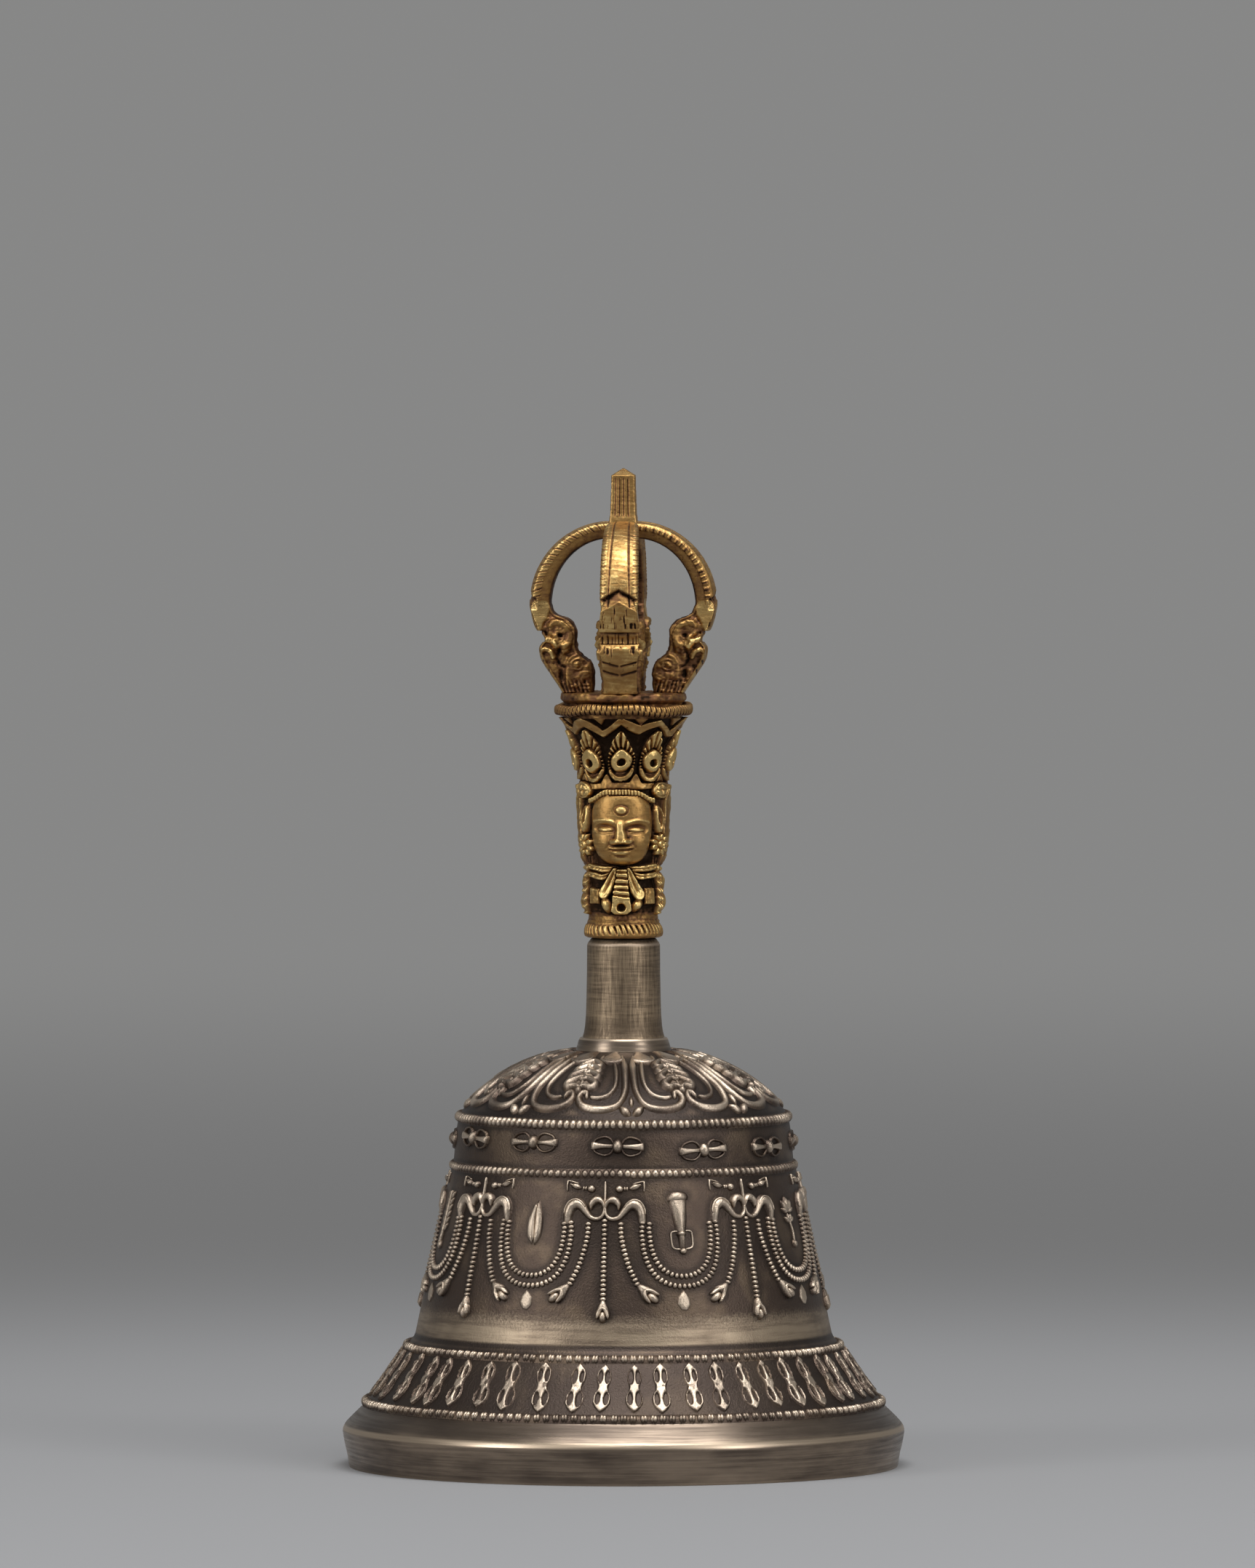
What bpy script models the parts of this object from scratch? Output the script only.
"""Tibetan hand bell: a cast bell on a plain rim, a turned neck, a brass handle and a hanging clapper.

Metres, +Z up. The bell stands on its rim, and the origin is the centre of the circle it stands on.
The face on the handle looks along -Y. A steel eye bolt runs up through the dome, the collar and the neck
into the handle, and its nut draws the stack together from inside. The clapper hangs in the bolt's eye on
a wire link, so the link swings about X and the clapper about Y.
"""

import math

import bmesh
import bpy
from mathutils import Matrix, Vector

# Fits
SEAT_GAP = 0.0003  # between faces that rest on each other
ROD_CLEARANCE = 0.0003  # round the eye bolt in every hole that it passes

# Bell casting: radii of the ground under the relief, and the heights of its zones from the floor up
RIM_RADIUS = 0.0500
RIM_RIDGE_HEIGHT = 0.0064
RIM_RIDGE_ROUND = 0.0009
FOOT_RADIUS = 0.0488
LIP_WIDTH = 0.0056
RIM_HEIGHT = 0.0123
RIM_TOP_RADIUS = 0.0453
SOUND_BOW = 0.0046
LOWER_BAND_HEIGHT = 0.0100
WAIST_RADIUS = 0.0378
FLARE_HEIGHT = 0.0030
FLARE_RADIUS = 0.0368
SKIRT_TOP_RADIUS = 0.0303
UPPER_BAND_HEIGHT = 0.0087
SHOULDER_RADIUS = 0.0293
DOME_HEIGHT = 0.0116
BELL_HEIGHT = 0.0740  # from the floor to the flat under the collar; the skirt takes up what is left
DOME_BULGE = 0.0021
DOME_LAND = 0.0004  # flat of the dome that shows round the collar
WALL = 0.0030
DOME_WALL = 0.0038
CROWN_LAND_RADIUS = 0.0078  # flat inside the dome, under the washer
RIM_BEAD = 0.00090
WAIST_BEAD = 0.00085
BAND_BEAD = 0.00065
SHOULDER_BEAD = 0.00070
BELL_SEGMENTS = 40

# Lotus petals of the dome, as shallow lobes
PETAL_COUNT = 8
PETAL_RELIEF = 0.0007
PETAL_TURN = math.radians(3)

# Relief cast on the wall: few-sided forms, measured across, and down from the upper band
RELIEF_PROUD = 0.0009
RELIEF_ROOT = 0.0003  # how far a form's edges are sunk into the wall
SWAG_COUNT = 8
SWAG_TURN = math.radians(-5)  # the first scrolled head stands a little left of the face
HOOK_WIDTH = 0.0017
HOOK_REACH = 0.0065
HOOK_DROP = 0.0070
HOOK_RISE = 0.0024
HOOK_END_DROP = 0.0084
CURL_START = 0.0009
CURL_REACH = 0.0027
CURL_DROP = 0.0074
SWAG_WIDTH = 0.0026  # over both strings of a swag
SWAG_HALF_SPAN = 0.0060
SWAG_DROP = 0.0091
SWAG_SAG = 0.0092
SWAG_STEPS = 5
SWAG_FULLNESS = 0.57  # 1 is half an ellipse, less is squarer
TASSEL_DROP = 0.0090
TASSEL_LENGTH = 0.0174
SIDE_TASSEL_START = 0.0028
SIDE_TASSEL_END = 0.0080
SIDE_TASSEL_LENGTH = 0.0136
TASSEL_WIDTH = 0.0030
BUD_LENGTH = 0.0040
EMBLEM_DROP = 0.0088
EMBLEM_WIDTH = 0.0034
EMBLEM_LENGTH = 0.0098
LYING_VAJRA_COUNT = 12
LYING_VAJRA_TURN = math.radians(-2)
LYING_VAJRA_LENGTH = 0.0104
LYING_VAJRA_WIDTH = 0.0042
LYING_VAJRA_WAIST = 0.0022
UPRIGHT_VAJRA_COUNT = 50
UPRIGHT_VAJRA_TURN = math.radians(2.4)
UPRIGHT_VAJRA_LENGTH = 0.0080  # its height; the wall leans out under it
UPRIGHT_VAJRA_WIDTH = 0.0040

# Turned neck and the collar under it
COLLAR_HEIGHT = 0.0018
COLLAR_FOOT_RADIUS = 0.0085
COLLAR_TOP_RADIUS = 0.0077
NECK_HEIGHT = 0.0172
NECK_RADIUS = 0.0065
NECK_FOOT_RADIUS = 0.0072
NECK_FLARE_HEIGHT = 0.0040
NECK_CHAMFER = 0.0009
TURNED_SEGMENTS = 30

# Handle column, one brass casting from its foot to the mouth of the crown
HANDLE_FOOT_HEIGHT = 0.0034
HANDLE_FOOT_RADIUS = 0.0071
HANDLE_ANKLE_RADIUS = 0.0058
BUST_HEIGHT = 0.0100
BUST_RADIUS = 0.0072
BUST_WAIST_RADIUS = 0.0067
HEAD_HEIGHT = 0.0145
HEAD_RADIUS = 0.0072
CROWN_HEIGHT = 0.0115
CROWN_FOOT_RADIUS = 0.0072
CROWN_MOUTH_RADIUS = 0.0108
TAPPED_DEPTH = 0.0160
FACE_WIDTH = 0.0106
FACE_LENGTH = 0.0130
FACE_PROUD = 0.0016  # how far the face stands out from the column
EAR_LENGTH = 0.0042
ROSETTE_RADIUS = 0.0020
ROSETTE_PROUD = 0.0012
RIBBON_WIDTH = 0.0046
RIBBON_PROUD = 0.0013
PENDANT_WIDTH = 0.0026
PENDANT_PROUD = 0.0012
BUST_LEAF_WIDTH = 0.0024
BUST_LEAF_PROUD = 0.0008
LEAF_COUNT = 9
LEAF_WIDTH = 0.0050
LEAF_LENGTH = 0.0090
LEAF_THICKNESS = 0.0018

# Rope ring and the plate that carries the half vajra
ROPE_RADIUS = 0.0011
ROPE_STRANDS = 36
ROPE_CUT = 0.16  # depth of the cuts, as a share of the rope's radius
ROPE_RING_RADIUS = 0.0113  # to the middle of the rope
PLATE_RADIUS = 0.0110
PLATE_THICKNESS = 0.0015

# Half vajra: four outer prongs with makara heads round a straight square one
PRONG_TURN = math.radians(-3)  # the vajra stands a little off the face
CAGE_RADIUS = 0.0167
CAGE_RISE = 0.0148
PRONG_THICKNESS = 0.0039
PRONG_TIP_THICKNESS = 0.0031
PRONG_WIDTH = 0.0068
PRONG_EDGE = 0.0008  # drop from the flat back of a prong to its notched edges
PRONG_ARC_STEPS = 8
MAKARA_HEIGHT = 0.0155
MAKARA_WIDTH = 0.0077
MAKARA_FOOT_WIDTH = 0.0067
MAKARA_FOOT_DEPTH = 0.0057
SNOUT_REACH = 0.0150
NAPE_RADIUS = 0.0083
MOUTH_DEPTH = 0.0010
MAKARA_EYE_RADIUS = 0.0010
SNOUT_RADIUS = 0.0012
BROW_RADIUS = 0.0016
CENTRE_HALF_WIDTH = 0.0021
CENTRE_JOINT_HALF_WIDTH = 0.0025
SPIKE_HEIGHT = 0.0095
SPIKE_POINT = 0.0013

# Eye bolt, washer and nut inside the dome
ROD_RADIUS = 0.0030
EYE_RADIUS = 0.0036  # to the middle of its wire
EYE_WIRE = 0.0013
WASHER_RADIUS = 0.0066
WASHER_THICKNESS = 0.0012
NUT_HEIGHT = 0.0042
NUT_RADIUS = 0.0055  # over its corners

# Clapper
LINK_RADIUS = 0.0042
LINK_WIRE = 0.0010
CLAPPER_EYE_RADIUS = 0.0032
CLAPPER_WIRE = 0.0011
SHANK_RADIUS = 0.0018
BULB_RADIUS = 0.0078
BULB_LENGTH = 0.0150
STRIKE_HEIGHT = 0.0165  # middle of the bulb above the floor
PEEN_RADIUS = 0.0026
PEEN_HEIGHT = 0.0012

# Heights that follow from the sizes above
WAIST_Z = RIM_HEIGHT + LOWER_BAND_HEIGHT
DOME_Z = BELL_HEIGHT
SHOULDER_Z = DOME_Z - DOME_HEIGHT
BAND_Z = SHOULDER_Z - UPPER_BAND_HEIGHT
COLLAR_Z = DOME_Z + SEAT_GAP
NECK_Z = COLLAR_Z + COLLAR_HEIGHT + SEAT_GAP
HANDLE_Z = NECK_Z + NECK_HEIGHT + SEAT_GAP
BUST_Z = HANDLE_Z + HANDLE_FOOT_HEIGHT
HEAD_Z = BUST_Z + BUST_HEIGHT
CROWN_Z = HEAD_Z + HEAD_HEIGHT
MOUTH_Z = CROWN_Z + CROWN_HEIGHT
ROPE_Z = MOUTH_Z + SEAT_GAP + ROPE_RADIUS
PLATE_Z = ROPE_Z + ROPE_RADIUS + SEAT_GAP
VAJRA_Z = PLATE_Z + PLATE_THICKNESS + SEAT_GAP
CAGE_Z = VAJRA_Z + MAKARA_HEIGHT
CAGE_TOP_Z = CAGE_Z + CAGE_RISE
WASHER_Z = DOME_Z - DOME_WALL - SEAT_GAP
NUT_Z = WASHER_Z - WASHER_THICKNESS - SEAT_GAP
EYE_Z = NUT_Z - NUT_HEIGHT - SEAT_GAP - EYE_RADIUS - EYE_WIRE
LINK_PIVOT_Z = EYE_Z - EYE_RADIUS
LINK_Z = LINK_PIVOT_Z + EYE_WIRE + LINK_WIRE + SEAT_GAP - LINK_RADIUS
CLAPPER_PIVOT_Z = LINK_Z - LINK_RADIUS
CLAPPER_EYE_Z = CLAPPER_PIVOT_Z + LINK_WIRE + CLAPPER_WIRE + SEAT_GAP - CLAPPER_EYE_RADIUS

BORE_RADIUS = ROD_RADIUS + ROD_CLEARANCE
PRONG_TIP_RADIUS = CENTRE_JOINT_HALF_WIDTH + SEAT_GAP
MERGE = 0.000001


def clear_scene():
    for found in list(bpy.data.objects):
        bpy.data.objects.remove(found)


def new_collection(name):
    collection = bpy.data.collections.new(name)
    bpy.context.scene.collection.children.link(collection)
    return collection


def metal(name, colour, roughness):
    material = bpy.data.materials.new(name)
    material.use_nodes = True
    shader = material.node_tree.nodes["Principled BSDF"]
    shader.inputs["Base Color"].default_value = (*colour, 1.0)
    shader.inputs["Roughness"].default_value = roughness
    shader.inputs["Metallic"].default_value = 1.0
    return material


def place(obj, collection, material=None, parent=None):
    for home in list(obj.users_collection):
        home.objects.unlink(obj)
    collection.objects.link(obj)
    if material:
        obj.data.materials.clear()
        obj.data.materials.append(material)
    if parent:
        obj.parent = parent
        obj.matrix_parent_inverse = Matrix.Translation(-parent.location)
    return obj


def as_helper(obj):
    obj.hide_render = True
    obj.display_type = "WIRE"
    return obj


def pivot(name, location, collection):
    empty = bpy.data.objects.new(name, None)
    empty.empty_display_size = 0.01
    empty.location = location
    collection.objects.link(empty)
    return empty


def arc(start, end, bulge, steps):
    """Points of a circular arc between two profile points; bulge is its rise, negative on the inner side."""
    start, end = Vector(start), Vector(end)
    chord = end - start
    outward = Vector((-chord.y, chord.x)).normalized()
    radius = (chord.length**2 / 4 + bulge**2) / (2 * bulge)
    centre = (start + end) / 2 + outward * (bulge - radius)
    first = math.atan2(*(start - centre).yx)
    swept = math.remainder(math.atan2(*(end - centre).yx) - first, math.tau)
    turn = [first + swept * i / steps for i in range(steps + 1)]
    reach = abs(radius)
    return [(centre.x + reach * math.cos(a), centre.y + reach * math.sin(a)) for a in turn]


def half_round(centre, towards, radius, steps=3):
    """A half-round moulding on a profile: its middle, the next profile point down, and its radius."""
    centre = Vector(centre)
    down = (Vector(towards) - centre).normalized()
    out = Vector((-down.y, down.x))
    turn = [math.pi * i / steps for i in range(steps + 1)]
    return [tuple(centre - down * radius * math.cos(a) + out * radius * math.sin(a)) for a in turn]


def lathe(name, profile, segments, closed):
    """A profile of (radius, height) turned about Z; it runs down its outer side."""
    mesh = bpy.data.meshes.new(name)
    count = len(profile)
    edges = [(i, i + 1) for i in range(count - 1)]
    if closed:
        edges.append((count - 1, 0))
    mesh.from_pydata([(r, 0, z) for r, z in profile], edges, [])
    obj = bpy.data.objects.new(name, mesh)
    bpy.context.scene.collection.objects.link(obj)
    screw = obj.modifiers.new("turned", "SCREW")
    screw.axis = "Z"
    screw.steps = screw.render_steps = segments
    screw.use_merge_vertices = True
    screw.merge_threshold = MERGE
    screw.use_smooth_shade = True
    return obj


def add_loft(shape, sections):
    """Adds to shape the faces of a closed solid through rings of points that all have the same count."""
    rings = [[shape.verts.new(point) for point in section] for section in sections]
    count = len(rings[0])
    for lower, upper in zip(rings, rings[1:]):
        for i in range(count):
            j = (i + 1) % count
            shape.faces.new((lower[i], lower[j], upper[j], upper[i]))
    shape.faces.new(rings[0][::-1])
    shape.faces.new(rings[-1])
    made = [vertex for ring in rings for vertex in ring]
    bmesh.ops.remove_doubles(shape, verts=made, dist=MERGE)


def loft(name, *solids):
    """One object of closed solids, each given by its rings of points."""
    mesh = bpy.data.meshes.new(name)
    shape = bmesh.new()
    for sections in solids:
        add_loft(shape, sections)
    bmesh.ops.recalc_face_normals(shape, faces=shape.faces)
    shape.to_mesh(mesh)
    shape.free()
    obj = bpy.data.objects.new(name, mesh)
    bpy.context.scene.collection.objects.link(obj)
    return obj


def torus(name, radius, wire, centre, axis, segments=24, sides=6):
    bpy.ops.mesh.primitive_torus_add(
        major_radius=radius, minor_radius=wire, major_segments=segments, minor_segments=sides
    )
    ring = bpy.context.object
    ring.name = name
    turn = Vector((0, 0, 1)).rotation_difference(Vector(axis)).to_matrix().to_4x4()
    ring.data.transform(Matrix.Translation(centre) @ turn)
    ring.data.shade_smooth()
    return ring


def cylinder(name, radius, low, high, sides):
    bpy.ops.mesh.primitive_cylinder_add(vertices=sides, radius=radius, depth=high - low)
    rod = bpy.context.object
    rod.name = name
    rod.data.transform(Matrix.Translation((0, 0, (low + high) / 2)))
    return rod


def ellipsoid(name, half_sizes, centre, turn=0.0, lean=0.0, segments=10, rings=6):
    """A ball scaled to half_sizes, leant back about X, moved to centre and turned about Z."""
    bpy.ops.mesh.primitive_uv_sphere_add(segments=segments, ring_count=rings, radius=1)
    ball = bpy.context.object
    ball.name = name
    ball.data.transform(
        Matrix.Rotation(turn, 4, "Z")
        @ Matrix.Translation(centre)
        @ Matrix.Rotation(lean, 4, "X")
        @ Matrix.Diagonal((*half_sizes, 1))
    )
    ball.data.shade_smooth()
    return ball


def block(name, half_sizes, centre, turn=0.0, bevel=0.0, spin=0.0):
    """A box of half_sizes spun about Y, moved to centre and turned about Z, with its edges rounded."""
    bpy.ops.mesh.primitive_cube_add(size=2)
    box = bpy.context.object
    box.name = name
    box.data.transform(Matrix.Diagonal((*half_sizes, 1)))
    if bevel:
        shape = bmesh.new()
        shape.from_mesh(box.data)
        bmesh.ops.bevel(shape, geom=shape.edges, offset=bevel, segments=1, affect="EDGES", profile=0.5)
        shape.to_mesh(box.data)
        shape.free()
    box.data.transform(
        Matrix.Rotation(turn, 4, "Z") @ Matrix.Translation(centre) @ Matrix.Rotation(spin, 4, "Y")
    )
    return box


def combine(obj, others, operation, helpers, crossing=False):
    """A Boolean of obj with every helper in others; crossing says that a helper's own solids may overlap."""
    for other in others:
        place(as_helper(other), helpers)
        modifier = obj.modifiers.new(other.name, "BOOLEAN")
        modifier.operation = operation
        modifier.solver = "EXACT"
        modifier.use_self = crossing
        modifier.object = other
    return obj


def evaluated_mesh(obj, name):
    """The object's mesh with its modifiers applied."""
    graph = bpy.context.evaluated_depsgraph_get()
    mesh = bpy.data.meshes.new_from_object(obj.evaluated_get(graph))
    mesh.name = name
    return mesh


def bell_profile():
    land = COLLAR_FOOT_RADIUS + DOME_LAND
    shoulder, band = (SHOULDER_RADIUS, SHOULDER_Z), (SKIRT_TOP_RADIUS, BAND_Z)
    flare, waist = (FLARE_RADIUS, WAIST_Z + FLARE_HEIGHT), (WAIST_RADIUS, WAIST_Z)
    rim_top, ridge = (RIM_TOP_RADIUS, RIM_HEIGHT), (RIM_RADIUS, RIM_RIDGE_HEIGHT)
    outside = [(BORE_RADIUS, DOME_Z)]
    outside += arc((land, DOME_Z), shoulder, DOME_BULGE, 7)[:-1]
    outside += half_round(shoulder, band, SHOULDER_BEAD)
    outside += half_round(band, flare, BAND_BEAD)
    outside += [flare]
    outside += half_round(waist, rim_top, WAIST_BEAD)
    outside += half_round(rim_top, ridge, RIM_BEAD)
    outside += [
        (RIM_RADIUS - RIM_RIDGE_ROUND, RIM_RIDGE_HEIGHT + RIM_RIDGE_ROUND),
        ridge,
        (RIM_RADIUS - RIM_RIDGE_ROUND / 8, RIM_RIDGE_HEIGHT - RIM_RIDGE_ROUND),
        (FOOT_RADIUS, 0),
    ]
    ceiling = DOME_Z - DOME_WALL
    inside = [
        (FOOT_RADIUS - LIP_WIDTH, 0),
        (RIM_TOP_RADIUS - SOUND_BOW, RIM_HEIGHT),
        (WAIST_RADIUS - WALL, WAIST_Z),
        (SKIRT_TOP_RADIUS - WALL, BAND_Z),
    ]
    springing = (SHOULDER_RADIUS - WALL, SHOULDER_Z - DOME_WALL + WALL)
    inside += arc((CROWN_LAND_RADIUS, ceiling), springing, DOME_BULGE, 4)[::-1]
    inside += [(BORE_RADIUS, ceiling)]
    return outside + inside


def raise_petals(mesh):
    """Lifts the dome into shallow lobes, one for each lotus petal."""
    middle = (SHOULDER_Z + DOME_Z) / 2
    reach = DOME_HEIGHT / 2
    for vertex in mesh.vertices:
        radius = math.hypot(vertex.co.x, vertex.co.y)
        outer = COLLAR_FOOT_RADIUS + DOME_LAND < radius < SHOULDER_RADIUS
        if not outer or vertex.co.z < SHOULDER_Z + SHOULDER_BEAD:
            continue
        along = max(0.0, 1 - ((vertex.co.z - middle) / reach) ** 2)
        angle = math.atan2(vertex.co.x, -vertex.co.y) - PETAL_TURN
        lobe = abs(math.sin(angle * PETAL_COUNT / 2)) ** 0.7
        inside_wall = radius < SHOULDER_RADIUS - WALL and vertex.normal.z < 0
        if not inside_wall:
            vertex.co += vertex.normal * PETAL_RELIEF * lobe * along


def ground_radius(height):
    """Radius of the wall at a height, under the mouldings, from the rim to the shoulder."""
    line = [
        (RIM_TOP_RADIUS, RIM_HEIGHT),
        (WAIST_RADIUS, WAIST_Z),
        (FLARE_RADIUS, WAIST_Z + FLARE_HEIGHT),
        (SKIRT_TOP_RADIUS, BAND_Z),
        (SHOULDER_RADIUS, SHOULDER_Z),
    ]
    low, high = next((pair for pair in zip(line, line[1:]) if height <= pair[1][1]), line[-2:])
    return low[0] + (high[0] - low[0]) * (height - low[1]) / (high[1] - low[1])


def on_wall(turn, across, height, lift):
    """A point over the wall: across is measured round it from turn, lift straight out."""
    radius = ground_radius(height)
    angle = turn + across / radius
    return ((radius + lift) * math.sin(angle), -(radius + lift) * math.cos(angle), height)


def rib(turn, path, width):
    """A roof-shaped rib along a path of (across, drop), with its edges sunk into the wall."""
    sections = []
    for i, point in enumerate(path):
        along = Vector(path[min(i + 1, len(path) - 1)]) - Vector(path[max(i - 1, 0)])
        side = Vector((-along.y, along.x)).normalized() * width / 2
        left, right = Vector(point) + side, Vector(point) - side
        edges = [on_wall(turn, edge.x, BAND_Z - edge.y, -RELIEF_ROOT) for edge in (left, right)]
        sections.append([edges[0], on_wall(turn, point[0], BAND_Z - point[1], RELIEF_PROUD), edges[1]])
    return sections


def boss(turn, outline, tops):
    """A form whose sunk outline of (across, height) rises to top points, one for each of its own."""
    edge = [on_wall(turn, *point, -RELIEF_ROOT) for point in outline]
    return [edge, [on_wall(turn, *point, RELIEF_PROUD) for point in tops]]


def lozenge(turn, middle, length, width):
    """An upright lozenge that rises to a point."""
    outline = [(width / 2, middle), (0, middle + length / 2), (-width / 2, middle), (0, middle - length / 2)]
    return boss(turn, outline, [(0, middle)] * 4)


def tassel(turn, start, end):
    """A string that widens into a bud, as a long kite between two points of (across, drop)."""
    top, tip = [Vector((across, BAND_Z - drop)) for across, drop in (start, end)]
    along = (tip - top).normalized()
    half = Vector((-along.y, along.x)) * TASSEL_WIDTH / 2
    wide = tip - along * BUD_LENGTH
    return boss(turn, [top, wide - half, tip, wide + half], [wide] * 4)


def scrolled_head(turn):
    """Two mirrored hooks, and three tassels under them."""
    made = [tassel(turn, (0, TASSEL_DROP), (0, TASSEL_DROP + TASSEL_LENGTH))]
    for side in (-1, 1):
        hook = arc((CURL_REACH, HOOK_DROP), (HOOK_REACH, HOOK_END_DROP), -HOOK_RISE, 3)
        path = [(side * u, drop) for u, drop in [(CURL_START, CURL_DROP)] + hook]
        made.append(rib(turn, path, HOOK_WIDTH))
        end = (side * SIDE_TASSEL_END, TASSEL_DROP + SIDE_TASSEL_LENGTH)
        made.append(tassel(turn, (side * SIDE_TASSEL_START, TASSEL_DROP), end))
    return made


def swag(turn):
    """The strings that hang between two heads, and the emblem over them."""
    path = []
    for i in range(SWAG_STEPS + 1):
        sweep = math.pi * i / SWAG_STEPS
        sag = SWAG_SAG * max(0.0, math.sin(sweep)) ** SWAG_FULLNESS
        path.append((-SWAG_HALF_SPAN * math.cos(sweep), SWAG_DROP + sag))
    emblem = lozenge(turn, BAND_Z - EMBLEM_DROP, EMBLEM_LENGTH, EMBLEM_WIDTH)
    return [rib(turn, path, SWAG_WIDTH), emblem]


def lying_vajra(turn):
    """Two lobes with a waist between them, each lobe a four-sided point."""
    long, half, waist = LYING_VAJRA_LENGTH / 2, LYING_VAJRA_WIDTH / 2, LYING_VAJRA_WAIST / 2
    middle = BAND_Z + UPPER_BAND_HEIGHT / 2
    right = [(0, -waist), (long / 2, -half), (long, 0), (long / 2, half)]
    outline = right + [(-u, -v) for u, v in right]
    tops = [(long / 2, 0)] * 4 + [(-long / 2, 0)] * 4
    return boss(turn, [(u, middle + v) for u, v in outline], [(u, middle + v) for u, v in tops])


def bell_relief():
    solids = []
    for i in range(SWAG_COUNT):
        turn = SWAG_TURN + math.tau * i / SWAG_COUNT
        solids += scrolled_head(turn) + swag(turn + math.pi / SWAG_COUNT)
    for i in range(LYING_VAJRA_COUNT):
        solids.append(lying_vajra(LYING_VAJRA_TURN + math.tau * i / LYING_VAJRA_COUNT))
    for i in range(UPRIGHT_VAJRA_COUNT):
        turn = UPRIGHT_VAJRA_TURN + math.tau * i / UPRIGHT_VAJRA_COUNT
        middle = RIM_HEIGHT + LOWER_BAND_HEIGHT / 2
        solids.append(lozenge(turn, middle, UPRIGHT_VAJRA_LENGTH, UPRIGHT_VAJRA_WIDTH))
    return loft("bell_relief", *solids)


def make_bell(parts, helpers, material):
    turned = lathe("bell_blank", bell_profile(), BELL_SEGMENTS, closed=True)
    mesh = evaluated_mesh(turned, "bell_body")
    bpy.data.objects.remove(turned)
    raise_petals(mesh)
    bell = place(bpy.data.objects.new("bell_body", mesh), parts, material)
    combine(bell, [bell_relief()], "UNION", helpers, crossing=True)


def make_neck(parts, material):
    collar = [
        (BORE_RADIUS, COLLAR_Z + COLLAR_HEIGHT),
        (COLLAR_TOP_RADIUS, COLLAR_Z + COLLAR_HEIGHT),
        (COLLAR_FOOT_RADIUS, COLLAR_Z),
        (BORE_RADIUS, COLLAR_Z),
    ]
    place(lathe("neck_collar", collar, TURNED_SEGMENTS, closed=True), parts, material)
    top = NECK_Z + NECK_HEIGHT
    hollow = -(NECK_FOOT_RADIUS - NECK_RADIUS) / 5
    sleeve = [(BORE_RADIUS, top), (NECK_RADIUS - NECK_CHAMFER, top), (NECK_RADIUS, top - NECK_CHAMFER)]
    sleeve += arc((NECK_RADIUS, NECK_Z + NECK_FLARE_HEIGHT), (NECK_FOOT_RADIUS, NECK_Z), hollow, 4)
    sleeve += [(BORE_RADIUS, NECK_Z)]
    place(lathe("neck_sleeve", sleeve, TURNED_SEGMENTS, closed=True), parts, material)


def column_profile():
    foot = [
        (HANDLE_ANKLE_RADIUS, BUST_Z),
        (HANDLE_FOOT_RADIUS, HANDLE_Z + HANDLE_FOOT_HEIGHT * 0.35),
        (HANDLE_FOOT_RADIUS, HANDLE_Z + HANDLE_FOOT_HEIGHT * 0.15),
        (HANDLE_FOOT_RADIUS * 0.94, HANDLE_Z),
    ]
    bust = [
        (BUST_WAIST_RADIUS, BUST_Z + BUST_HEIGHT * 0.80),
        (BUST_RADIUS, BUST_Z + BUST_HEIGHT * 0.45),
        (BUST_RADIUS, BUST_Z + BUST_HEIGHT * 0.12),
    ]
    crown = arc((CROWN_MOUTH_RADIUS, MOUTH_Z), (CROWN_FOOT_RADIUS, CROWN_Z), -CROWN_HEIGHT / 12, 5)
    return [(0, MOUTH_Z)] + crown + [(HEAD_RADIUS, HEAD_Z)] + bust + foot + [(0, HANDLE_Z)]


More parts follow.
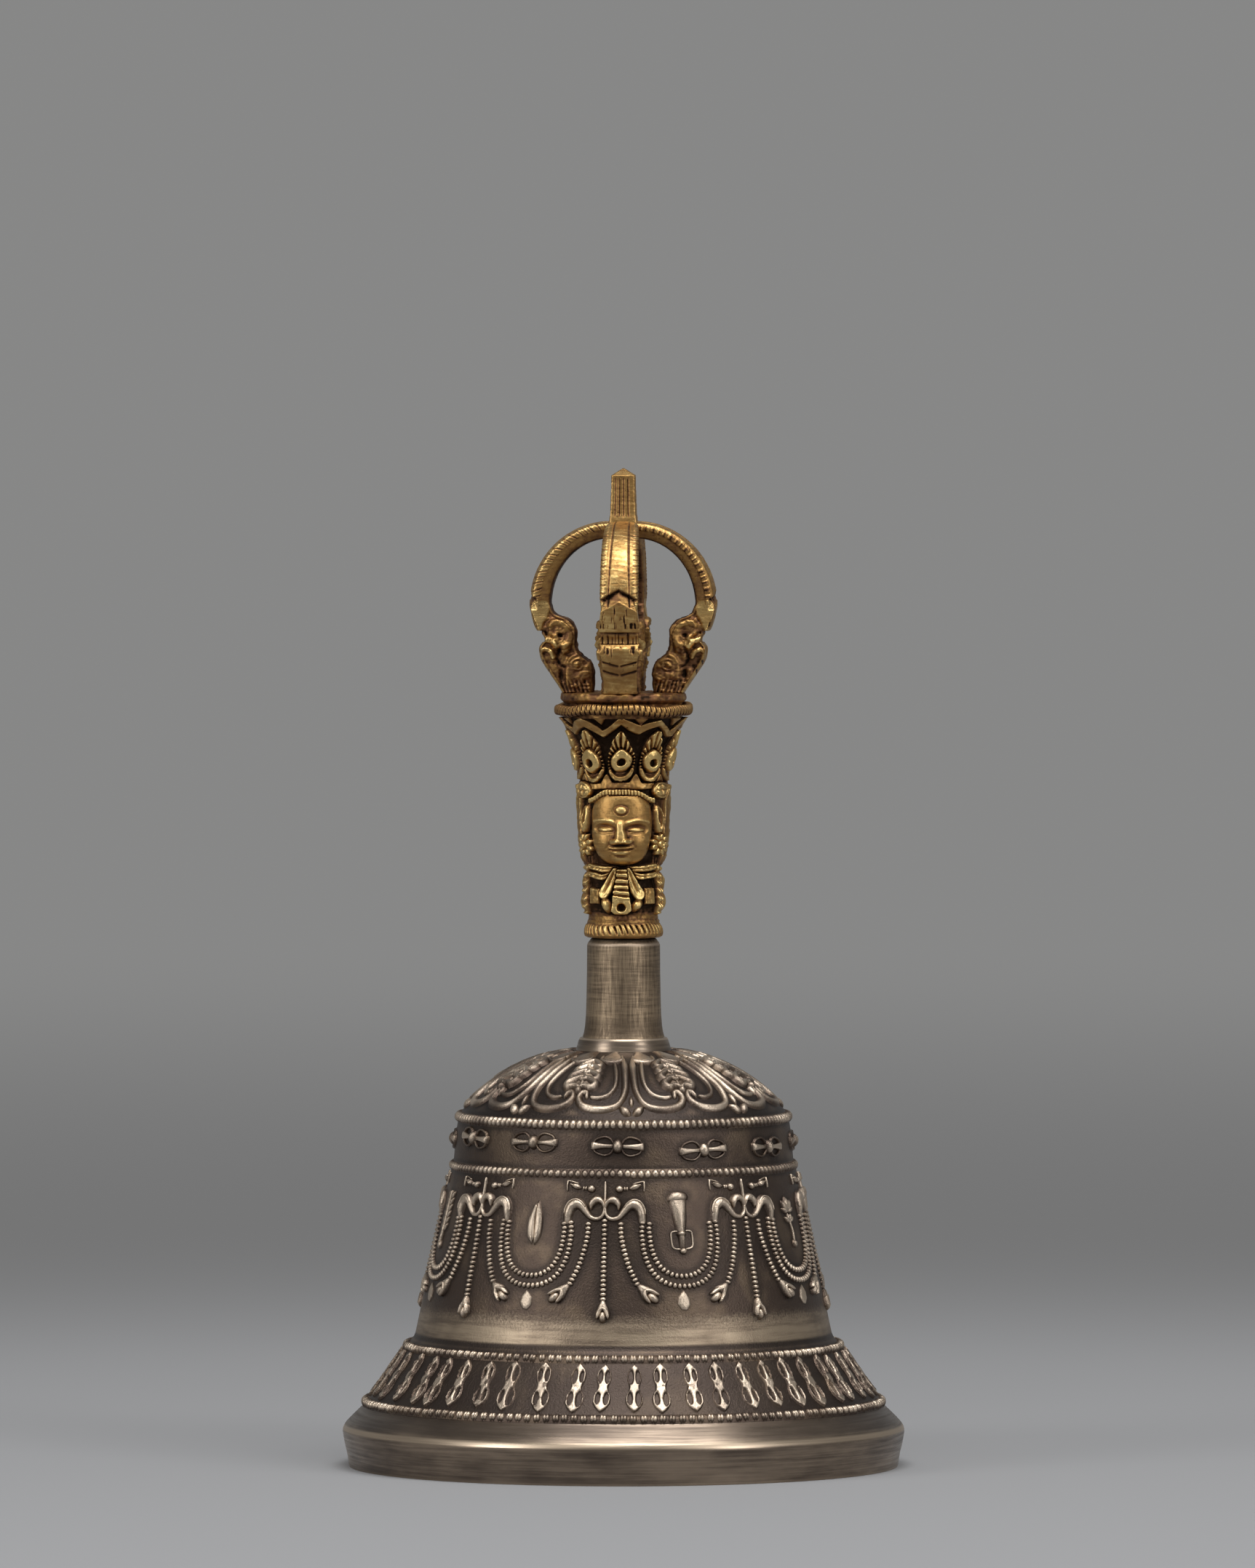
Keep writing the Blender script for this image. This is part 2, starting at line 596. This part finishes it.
def face_parts():
    """The head and what hangs beside it, each a ball or a block sunk into the column."""
    middle = HEAD_Z + HEAD_HEIGHT * 0.40
    depth = FACE_WIDTH / 2
    front = HEAD_RADIUS + FACE_PROUD - depth
    made = [ellipsoid("face", (FACE_WIDTH / 2, depth, FACE_LENGTH / 2), (0, -front, middle), 0, 0, 16, 10)]
    nose = (FACE_WIDTH * 0.10, FACE_PROUD * 0.7, FACE_LENGTH * 0.14)
    made.append(ellipsoid("nose", nose, (0, -HEAD_RADIUS - FACE_PROUD, middle - FACE_LENGTH * 0.06), 0, 0.25))
    for side in (-1, 1):
        ear = (EAR_LENGTH / 4, EAR_LENGTH / 4, EAR_LENGTH / 2)
        spot = (side * HEAD_RADIUS * 0.90, -HEAD_RADIUS * 0.48, middle + EAR_LENGTH / 2)
        made.append(ellipsoid("ear", ear, spot))
        rosette = (ROSETTE_RADIUS, ROSETTE_PROUD, ROSETTE_RADIUS)
        for height in (CROWN_Z - ROSETTE_RADIUS * 0.6, middle - EAR_LENGTH * 0.6):
            made.append(ellipsoid("rosette", rosette, (0, -HEAD_RADIUS, height), side * math.radians(63)))
        length = HEAD_HEIGHT * 0.48
        half = (RIBBON_WIDTH / 2, RIBBON_PROUD, length)
        centre = (0, -HEAD_RADIUS, CROWN_Z - length)
        made.append(block("ribbon", half, centre, side * math.pi / 2, RIBBON_PROUD / 2))
        for turn, length in ((26, 0.30), (48, 0.22), (90, 0.34)):
            leaf = (BUST_LEAF_WIDTH / 2, BUST_LEAF_PROUD, BUST_HEIGHT * length)
            spot = (0, -BUST_RADIUS, BUST_Z + BUST_HEIGHT * (0.80 - length))
            made.append(ellipsoid("bust_leaf", leaf, spot, side * math.radians(turn), segments=8))
    half = (PENDANT_WIDTH / 2, PENDANT_PROUD, BUST_HEIGHT * 0.40)
    spot = (0, -BUST_RADIUS, BUST_Z + BUST_HEIGHT * 0.46)
    made.append(block("pendant", half, spot, 0.0, PENDANT_PROUD / 2))
    return made


def crown_leaves():
    lean = math.atan2(CROWN_MOUTH_RADIUS - CROWN_FOOT_RADIUS, CROWN_HEIGHT)
    radius = (CROWN_FOOT_RADIUS + CROWN_MOUTH_RADIUS) / 2 - CROWN_HEIGHT / 16
    half = (LEAF_WIDTH / 2, LEAF_THICKNESS / 2, LEAF_LENGTH / 2)
    centre = (0, -radius, CROWN_Z + CROWN_HEIGHT * 0.44)
    turns = [math.tau * i / LEAF_COUNT for i in range(LEAF_COUNT)]
    return [ellipsoid("crown_leaf", half, centre, turn, lean) for turn in turns]


def make_handle(parts, helpers, material):
    column = lathe("handle_column", column_profile(), TURNED_SEGMENTS, closed=False)
    combine(column, face_parts() + crown_leaves(), "UNION", helpers)
    bore = cylinder("handle_bore", BORE_RADIUS, HANDLE_Z - TAPPED_DEPTH, HANDLE_Z + TAPPED_DEPTH, 20)
    combine(column, [bore], "DIFFERENCE", helpers)
    place(column, parts, material)


def rope_mesh(ring):
    """Cuts a plain torus into strands by drawing its section in and out along the ring."""
    for vertex in ring.data.vertices:
        angle = math.atan2(vertex.co.y, vertex.co.x)
        core = Vector((math.cos(angle), math.sin(angle), 0)) * ROPE_RING_RADIUS
        core.z = ROPE_Z
        strand = abs(math.sin(angle * ROPE_STRANDS / 2))
        vertex.co = core + (vertex.co - core) * (1 - ROPE_CUT * (1 - strand))


def make_plate(parts, material):
    ring = torus("rope_ring", ROPE_RING_RADIUS, ROPE_RADIUS, (0, 0, ROPE_Z), (0, 0, 1), ROPE_STRANDS * 2, 5)
    rope_mesh(ring)
    place(ring, parts, material)
    spigot = ROPE_RING_RADIUS - ROPE_RADIUS - SEAT_GAP
    rounding = PLATE_THICKNESS / 4
    plate = [
        (0, PLATE_Z + PLATE_THICKNESS),
        (PLATE_RADIUS - rounding, PLATE_Z + PLATE_THICKNESS),
        (PLATE_RADIUS, PLATE_Z + PLATE_THICKNESS - rounding),
        (PLATE_RADIUS, PLATE_Z),
        (spigot, PLATE_Z),
        (spigot, MOUTH_Z + SEAT_GAP),
        (0, MOUTH_Z + SEAT_GAP),
    ]
    place(lathe("vajra_plate", plate, TURNED_SEGMENTS, closed=False), parts, material)


def prong_section(inner, outer, width):
    """Section of a prong between two points of its side view: flat panel, sloped notched edges."""
    inner, outer = Vector((0, -inner[0], inner[1])), Vector((0, -outer[0], outer[1]))
    edge = outer + (inner - outer).normalized() * PRONG_EDGE
    half = Vector((width / 2, 0, 0))
    return [inner - half, inner + half, edge + half, outer + half * 0.5, outer - half * 0.5, edge - half]


def makara_sections():
    """The head, from its foot on the plate to the root of the arc: lobe, jaw, snout, mouth, nape and brow."""
    foot_outer, cage_inner = PLATE_RADIUS, CAGE_RADIUS - PRONG_THICKNESS
    foot_inner = foot_outer - MAKARA_FOOT_DEPTH
    stations = (
        (0.00, foot_inner, foot_outer, MAKARA_FOOT_WIDTH),
        (0.20, foot_inner, (foot_outer + SNOUT_REACH) / 2, MAKARA_FOOT_WIDTH),
        (0.36, foot_inner * 1.08, SNOUT_REACH * 0.97, MAKARA_FOOT_WIDTH),
        (0.44, NAPE_RADIUS * 0.92, SNOUT_REACH, MAKARA_WIDTH),
        (0.51, NAPE_RADIUS, SNOUT_REACH, MAKARA_WIDTH),
        (0.58, NAPE_RADIUS, SNOUT_REACH - MOUTH_DEPTH, MAKARA_WIDTH),
        (0.71, NAPE_RADIUS, (SNOUT_REACH + CAGE_RADIUS) / 2, MAKARA_WIDTH),
        (0.80, (NAPE_RADIUS * 2 + cage_inner) / 3, CAGE_RADIUS * 0.97, MAKARA_WIDTH),
        (0.88, (NAPE_RADIUS + cage_inner * 3) / 4, CAGE_RADIUS * 0.99, PRONG_WIDTH),
    )
    made = []
    for share, inner, outer, width in stations:
        height = VAJRA_Z + MAKARA_HEIGHT * share
        made.append(prong_section((inner, height), (outer, height), width))
    return made


def makara_bosses():
    """Eyes, curled snouts and brows: balls drawn out across the head, with both ends proud of it."""
    foot_inner = PLATE_RADIUS - MAKARA_FOOT_DEPTH
    places = (
        ("makara_eyes", MAKARA_EYE_RADIUS, MAKARA_FOOT_WIDTH, foot_inner + 2.3 * MAKARA_EYE_RADIUS, 0.31),
        ("makara_snouts", SNOUT_RADIUS, MAKARA_WIDTH, SNOUT_REACH - SNOUT_RADIUS, 0.49),
        ("makara_brows", BROW_RADIUS, MAKARA_WIDTH, NAPE_RADIUS + BROW_RADIUS * 0.9, 0.72),
    )
    made = []
    for name, radius, width, reach, share in places:
        half = (width / 2 + radius * 0.8, radius, radius)
        made.append(ellipsoid(name, half, (0, -reach, VAJRA_Z + MAKARA_HEIGHT * share)))
    return made


def arc_sections():
    """The arc over the cage: two quarter ellipses about one centre, narrowing to the tip."""
    reach, rise = CAGE_RADIUS - PRONG_TIP_RADIUS, CAGE_RISE
    tip_width = 2 * (PRONG_TIP_RADIUS - SEAT_GAP)
    made = []
    for i in range(PRONG_ARC_STEPS + 1):
        share = i / PRONG_ARC_STEPS
        across, up = math.cos(share * math.pi / 2), math.sin(share * math.pi / 2)
        outer = (PRONG_TIP_RADIUS + reach * across, CAGE_Z + rise * up)
        inner_reach, inner_rise = reach - PRONG_THICKNESS, rise - PRONG_TIP_THICKNESS
        inner = (PRONG_TIP_RADIUS + inner_reach * across, CAGE_Z + inner_rise * up)
        made.append(prong_section(inner, outer, PRONG_WIDTH + (tip_width - PRONG_WIDTH) * share**3))
    return made


def make_prongs(parts, helpers, material, cage):
    blank = loft("prong_blank", makara_sections() + arc_sections())
    combine(blank, makara_bosses(), "UNION", helpers)
    mesh = evaluated_mesh(blank, "prong")
    bpy.data.objects.remove(blank)
    for i, side in enumerate(("front", "right", "back", "left")):
        prong = place(bpy.data.objects.new(f"prong_{side}", mesh), parts, material, cage)
        prong.rotation_euler.z = i * math.pi / 2


def make_centre_prong(parts, material, cage):
    def square(half, height):
        return [(half, half, height), (-half, half, height), (-half, -half, height), (half, -half, height)]

    spike_z = CAGE_TOP_Z + SPIKE_HEIGHT
    low = CAGE_TOP_Z - PRONG_TIP_THICKNESS
    sections = [
        square(CENTRE_JOINT_HALF_WIDTH, VAJRA_Z),
        square(CENTRE_HALF_WIDTH, VAJRA_Z + CENTRE_HALF_WIDTH),
        square(CENTRE_HALF_WIDTH, low - CENTRE_HALF_WIDTH),
        square(CENTRE_JOINT_HALF_WIDTH, low),
        square(CENTRE_JOINT_HALF_WIDTH, CAGE_TOP_Z),
        square(CENTRE_HALF_WIDTH, CAGE_TOP_Z + CENTRE_HALF_WIDTH),
        square(CENTRE_HALF_WIDTH, spike_z - SPIKE_POINT),
        square(CENTRE_HALF_WIDTH / 12, spike_z),
    ]
    place(loft("centre_prong", sections), parts, material, cage)


def make_eye_bolt(parts, helpers, material):
    top = HANDLE_Z + TAPPED_DEPTH - SEAT_GAP
    rod = cylinder("eye_bolt", ROD_RADIUS, EYE_Z + EYE_RADIUS, top, 20)
    eye = torus("bolt_eye", EYE_RADIUS, EYE_WIRE, (0, 0, EYE_Z), (0, 1, 0))
    place(combine(rod, [eye], "UNION", helpers), parts, material)
    washer = [
        (BORE_RADIUS, WASHER_Z),
        (WASHER_RADIUS, WASHER_Z),
        (WASHER_RADIUS, WASHER_Z - WASHER_THICKNESS),
        (BORE_RADIUS, WASHER_Z - WASHER_THICKNESS),
    ]
    place(lathe("crown_washer", washer, 24, closed=True), parts, material)
    nut = cylinder("crown_nut", NUT_RADIUS, NUT_Z - NUT_HEIGHT, NUT_Z, 6)
    hole = cylinder("nut_hole", BORE_RADIUS, NUT_Z - 2 * NUT_HEIGHT, NUT_Z + NUT_HEIGHT, 20)
    place(combine(nut, [hole], "DIFFERENCE", helpers), parts, material)


def make_clapper(parts, helpers, wire, iron):
    link_pivot = pivot("link_pivot", (0, 0, LINK_PIVOT_Z), parts)
    link = torus("clapper_link", LINK_RADIUS, LINK_WIRE, (0, 0, LINK_Z), (1, 0, 0))
    place(link, parts, wire, link_pivot)
    clapper_pivot = pivot("clapper_pivot", (0, 0, CLAPPER_PIVOT_Z), parts)
    clapper_pivot.parent = link_pivot
    clapper_pivot.matrix_parent_inverse = Matrix.Translation(-link_pivot.location)
    low = STRIKE_HEIGHT - BULB_LENGTH / 2
    end = low - SEAT_GAP - PEEN_HEIGHT
    shank = cylinder("clapper_shank", SHANK_RADIUS, end, CLAPPER_EYE_Z - CLAPPER_EYE_RADIUS, 16)
    eye = torus("shank_eye", CLAPPER_EYE_RADIUS, CLAPPER_WIRE, (0, 0, CLAPPER_EYE_Z), (0, 1, 0))
    peen = cylinder("shank_peen", PEEN_RADIUS, end, end + PEEN_HEIGHT, 16)
    place(combine(shank, [eye, peen], "UNION", helpers), parts, iron, clapper_pivot)
    bore = SHANK_RADIUS + ROD_CLEARANCE
    flat = BULB_RADIUS * 0.45
    high = low + BULB_LENGTH
    bulb = [(bore, high)] + arc((flat, high), (flat, low), BULB_RADIUS - flat, 8) + [(bore, low)]
    place(lathe("clapper_bulb", bulb, 20, closed=True), parts, iron, clapper_pivot)


def main():
    clear_scene()
    parts = new_collection("tibetan_bell")
    helpers = new_collection("helpers")
    bell_metal = metal("bell_metal", (0.30, 0.24, 0.19), 0.42)
    brass = metal("brass", (0.62, 0.44, 0.18), 0.36)
    steel = metal("steel", (0.55, 0.54, 0.52), 0.35)
    iron = metal("forged_iron", (0.24, 0.22, 0.21), 0.55)
    make_bell(parts, helpers, bell_metal)
    make_neck(parts, bell_metal)
    make_handle(parts, helpers, brass)
    make_plate(parts, brass)
    cage = pivot("vajra", (0, 0, 0), parts)
    make_prongs(parts, helpers, brass, cage)
    make_centre_prong(parts, brass, cage)
    cage.rotation_euler.z = PRONG_TURN
    make_eye_bolt(parts, helpers, steel)
    make_clapper(parts, helpers, steel, iron)
    bpy.context.view_layer.update()


main()
